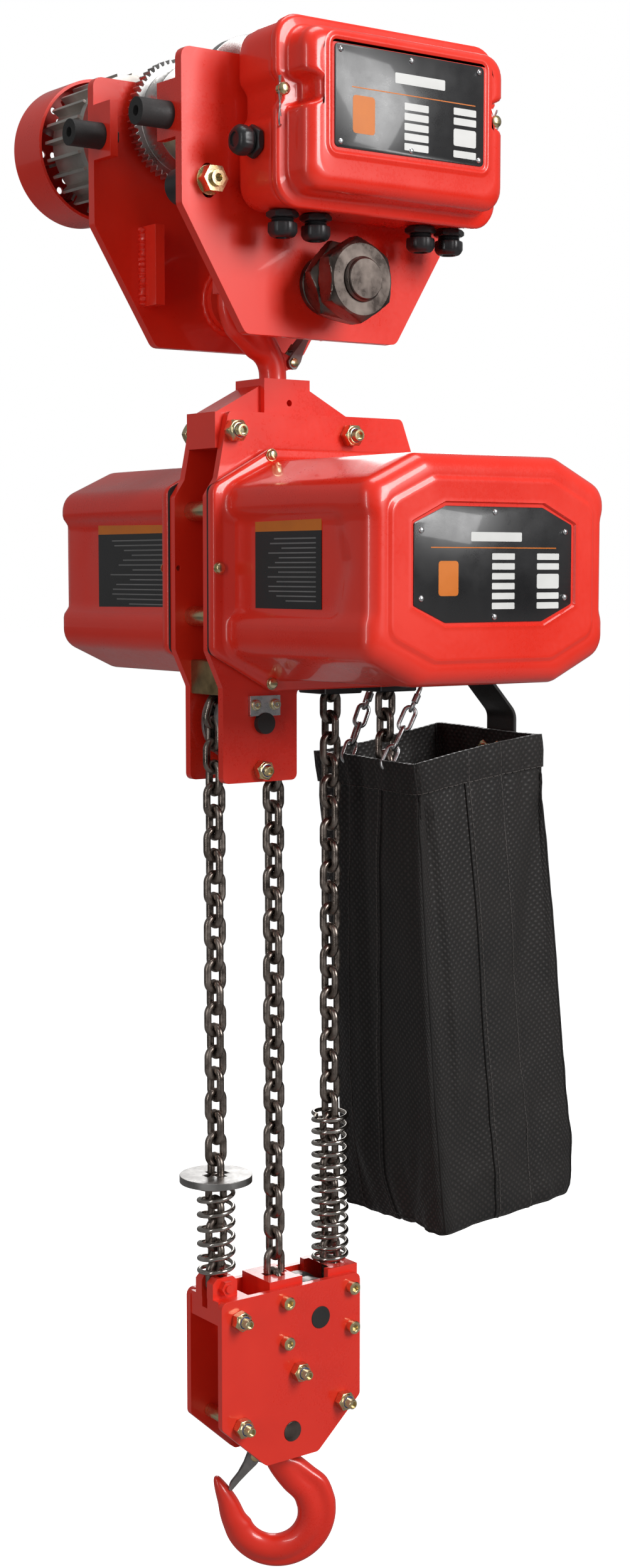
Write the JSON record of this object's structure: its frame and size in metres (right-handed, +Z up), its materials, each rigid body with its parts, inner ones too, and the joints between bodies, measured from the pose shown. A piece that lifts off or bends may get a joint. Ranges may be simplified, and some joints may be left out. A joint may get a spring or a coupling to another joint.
{
  "type": "electric chain hoist",
  "caption": "Electric chain hoist on a motorised beam trolley: load chain falls to a hooked lower block, octagonal covers, control box and fabric chain bag.",
  "frame": {"origin": "on the beam's centre line at the height of the wheel treads, midway between the wheels", "axes": "+X along the beam, -Y towards the control box, +Z up"},
  "size_m": [0.507, 0.5302, 1.4624],
  "materials": {
    "red_paint": "glossy orange-red coat with soft edges",
    "black_plate": "satin black",
    "black_plastic": "satin black moulding",
    "black_rubber": "matt",
    "black_steel": "matt black coat",
    "dark_oxide": "dark oxide, machined",
    "bright_steel": "machined",
    "zinc": "bright zinc plate",
    "yellow_zinc": "yellow passivated zinc plate",
    "chain_steel": "dark manganese-phosphated, oiled",
    "grey_casting": "grey, as cast",
    "alloy": "cast, finned",
    "mesh_fabric": "coarse black woven mesh",
    "device_plastic": "light grey moulding"
  },
  "bodies": {
    "trolley": {"trolley_plate_front": "red_paint", "trolley_plate_rear": "red_paint", "load_shaft": "bright_steel", "load_shaft_nuts": "dark_oxide", "bumpers": "black_rubber", "trolley_axles": "yellow_zinc", "control_box": "red_paint", "control_box_lid": "red_paint", "cable_glands": "black_plastic", "lid_hardware": "black_plate", "contactors": "device_plastic", "travel_motor": "alloy", "fan_cowl": "red_paint", "travel_gearbox": "red_paint"},
    "hoist_frame": {"yoke": "red_paint", "frame_plates": "red_paint", "frame_bolts": "yellow_zinc", "front_cover": "red_paint", "rear_cover": "red_paint", "cover_gaskets": "black_rubber", "cover_screws": "yellow_zinc", "nameplate": "black_plate", "motor_stator": "alloy", "gear_case": "alloy", "idler_axle": "black_steel", "axle_retainer": "zinc", "chain_guides": "black_plastic", "chain_bag": "mesh_fabric", "bag_hangers": "zinc", "load_chain_upper": "chain_steel"},
    "lower_block": {"block_plates": "red_paint", "sheave_axle": "black_steel", "block_guides": "red_paint", "chain_anchor": "red_paint", "block_bolts": "yellow_zinc", "short_spring": "zinc", "long_spring": "zinc", "load_chain_lower": "chain_steel"},
    "travel_rotor": {"travel_rotor": "bright_steel"},
    "travel_pinion": {"travel_pinion": "bright_steel"},
    "drive_wheel_left": {"drive_wheel_left": "bright_steel"},
    "drive_wheel_right": {"drive_wheel_right": "bright_steel"},
    "idle_wheel_left": {"idle_wheel_left": "bright_steel"},
    "idle_wheel_right": {"idle_wheel_right": "bright_steel"},
    "guide_roller_left": {"guide_roller_left": "black_plastic"},
    "guide_roller_right": {"guide_roller_right": "black_plastic"},
    "top_hook": {"top_hook": "red_paint"},
    "top_latch": {"top_latch": "grey_casting"},
    "motor_rotor": {"motor_rotor": "bright_steel"},
    "clutch_gear": {"clutch_gear": "bright_steel"},
    "intermediate_shaft": {"intermediate_shaft": "bright_steel"},
    "load_wheel": {"load_wheel": "grey_casting"},
    "idler_wheel": {"idler_wheel": "grey_casting"},
    "block_sheave": {"block_sheave": "grey_casting"},
    "stop_disc": {"stop_disc": "zinc"},
    "crosshead": {"crosshead": "dark_oxide"},
    "lower_hook": {"lower_hook": "red_paint"},
    "lower_latch": {"lower_latch": "grey_casting"}
  },
  "joints": [
    {"name": "drive_wheel_left_spin", "type": "hinge", "parent": "trolley", "child": "drive_wheel_left", "pos_m": [-0.062, 0.05, 0.049], "axis": [0, 1, 0], "continuous": true},
    {"name": "drive_wheel_right_spin", "type": "hinge", "parent": "trolley", "child": "drive_wheel_right", "pos_m": [0.062, 0.05, 0.049], "axis": [0, 1, 0], "continuous": true},
    {"name": "travel_pinion_spin", "type": "hinge", "parent": "trolley", "child": "travel_pinion", "pos_m": [0, 0.06, 0.0165], "axis": [0, 1, 0], "continuous": true},
    {"name": "travel_rotor_spin", "type": "hinge", "parent": "trolley", "child": "travel_rotor", "pos_m": [-0.084, 0.15, 0.038], "axis": [0, 1, 0], "continuous": true},
    {"name": "idle_wheel_left_spin", "type": "hinge", "parent": "trolley", "child": "idle_wheel_left", "pos_m": [-0.062, -0.05, 0.049], "axis": [0, 1, 0], "continuous": true},
    {"name": "idle_wheel_right_spin", "type": "hinge", "parent": "trolley", "child": "idle_wheel_right", "pos_m": [0.062, -0.05, 0.049], "axis": [0, 1, 0], "continuous": true},
    {"name": "guide_roller_left_spin", "type": "hinge", "parent": "trolley", "child": "guide_roller_left", "pos_m": [-0.124, -0.05, -0.029], "axis": [0, 1, 0], "continuous": true},
    {"name": "guide_roller_right_spin", "type": "hinge", "parent": "trolley", "child": "guide_roller_right", "pos_m": [0.124, -0.05, -0.029], "axis": [0, 1, 0], "continuous": true},
    {"name": "top_hook_swing", "type": "hinge", "parent": "trolley", "child": "top_hook", "pos_m": [0, 0, -0.111], "axis": [0, 1, 0], "range_deg": [-10, 10]},
    {"name": "top_latch_open", "type": "hinge", "parent": "top_hook", "child": "top_latch", "pos_m": [0.019, 0, -0.1735], "axis": [0, -1, 0], "range_deg": [0, 38], "stiffness_Nm_per_rad": 0.05},
    {"name": "hoist_swivel", "type": "hinge", "parent": "top_hook", "child": "hoist_frame", "pos_m": [0, 0, -0.24], "axis": [0, 0, 1], "continuous": true},
    {"name": "hook_lift", "type": "slide", "parent": "hoist_frame", "child": "lower_block", "axis": [0, 0, 1], "range_m": [0, 0.252], "deforming": ["load_chain_upper", "load_chain_lower"]},
    {"name": "load_wheel_spin", "type": "hinge", "parent": "hoist_frame", "child": "load_wheel", "pos_m": [0.10194, 0, -0.3857], "axis": [0, 1, 0], "continuous": true},
    {"name": "idler_wheel_spin", "type": "hinge", "parent": "hoist_frame", "child": "idler_wheel", "pos_m": [-0.03398, 0, -0.5117], "axis": [0, 1, 0], "continuous": true},
    {"name": "intermediate_shaft_spin", "type": "hinge", "parent": "hoist_frame", "child": "intermediate_shaft", "pos_m": [0.03958, 0, -0.3497], "axis": [0, 1, 0], "continuous": true},
    {"name": "block_sheave_spin", "type": "hinge", "parent": "lower_block", "child": "block_sheave", "pos_m": [0.03398, 0, -1.0997], "axis": [0, 1, 0], "continuous": true},
    {"name": "motor_spin", "type": "hinge", "parent": "hoist_frame", "child": "motor_rotor", "pos_m": [-0.01108, 0, -0.37895], "axis": [0, 1, 0], "continuous": true},
    {"name": "clutch_gear_spin", "type": "hinge", "parent": "hoist_frame", "child": "clutch_gear", "pos_m": [0.03958, 0, -0.3497], "axis": [0, 1, 0], "continuous": true},
    {"name": "stop_disc_press", "type": "slide", "parent": "lower_block", "child": "stop_disc", "axis": [0, 0, 1], "range_m": [-0.03, 0], "stiffness_N_per_m": 2000, "deforming": ["short_spring"]},
    {"name": "crosshead_tilt", "type": "hinge", "parent": "lower_block", "child": "crosshead", "pos_m": [0, 0, -1.2075], "axis": [0, 1, 0], "range_deg": [-8, 8]},
    {"name": "lower_hook_swivel", "type": "hinge", "parent": "crosshead", "child": "lower_hook", "pos_m": [0, 0, -1.25], "axis": [0, 0, 1], "continuous": true},
    {"name": "lower_latch_open", "type": "hinge", "parent": "lower_hook", "child": "lower_latch", "pos_m": [-0.01537, 0.01117, -1.2405], "axis": [-0.5878, -0.809, 0], "range_deg": [0, 38], "stiffness_Nm_per_rad": 0.05}
  ],
  "couplings": [
    {"joint": "drive_wheel_right_spin", "follows": "drive_wheel_left_spin", "ratio": 1},
    {"joint": "travel_pinion_spin", "follows": "drive_wheel_left_spin", "ratio": -4},
    {"joint": "travel_rotor_spin", "follows": "drive_wheel_left_spin", "ratio": 52},
    {"joint": "load_wheel_spin", "follows": "hook_lift", "rad_per_m": 89.76},
    {"joint": "idler_wheel_spin", "follows": "hook_lift", "rad_per_m": 29.92},
    {"joint": "block_sheave_spin", "follows": "hook_lift", "rad_per_m": -59.84},
    {"joint": "intermediate_shaft_spin", "follows": "hook_lift", "rad_per_m": -448.8},
    {"joint": "clutch_gear_spin", "follows": "motor_spin", "ratio": -0.18182}
  ]
}
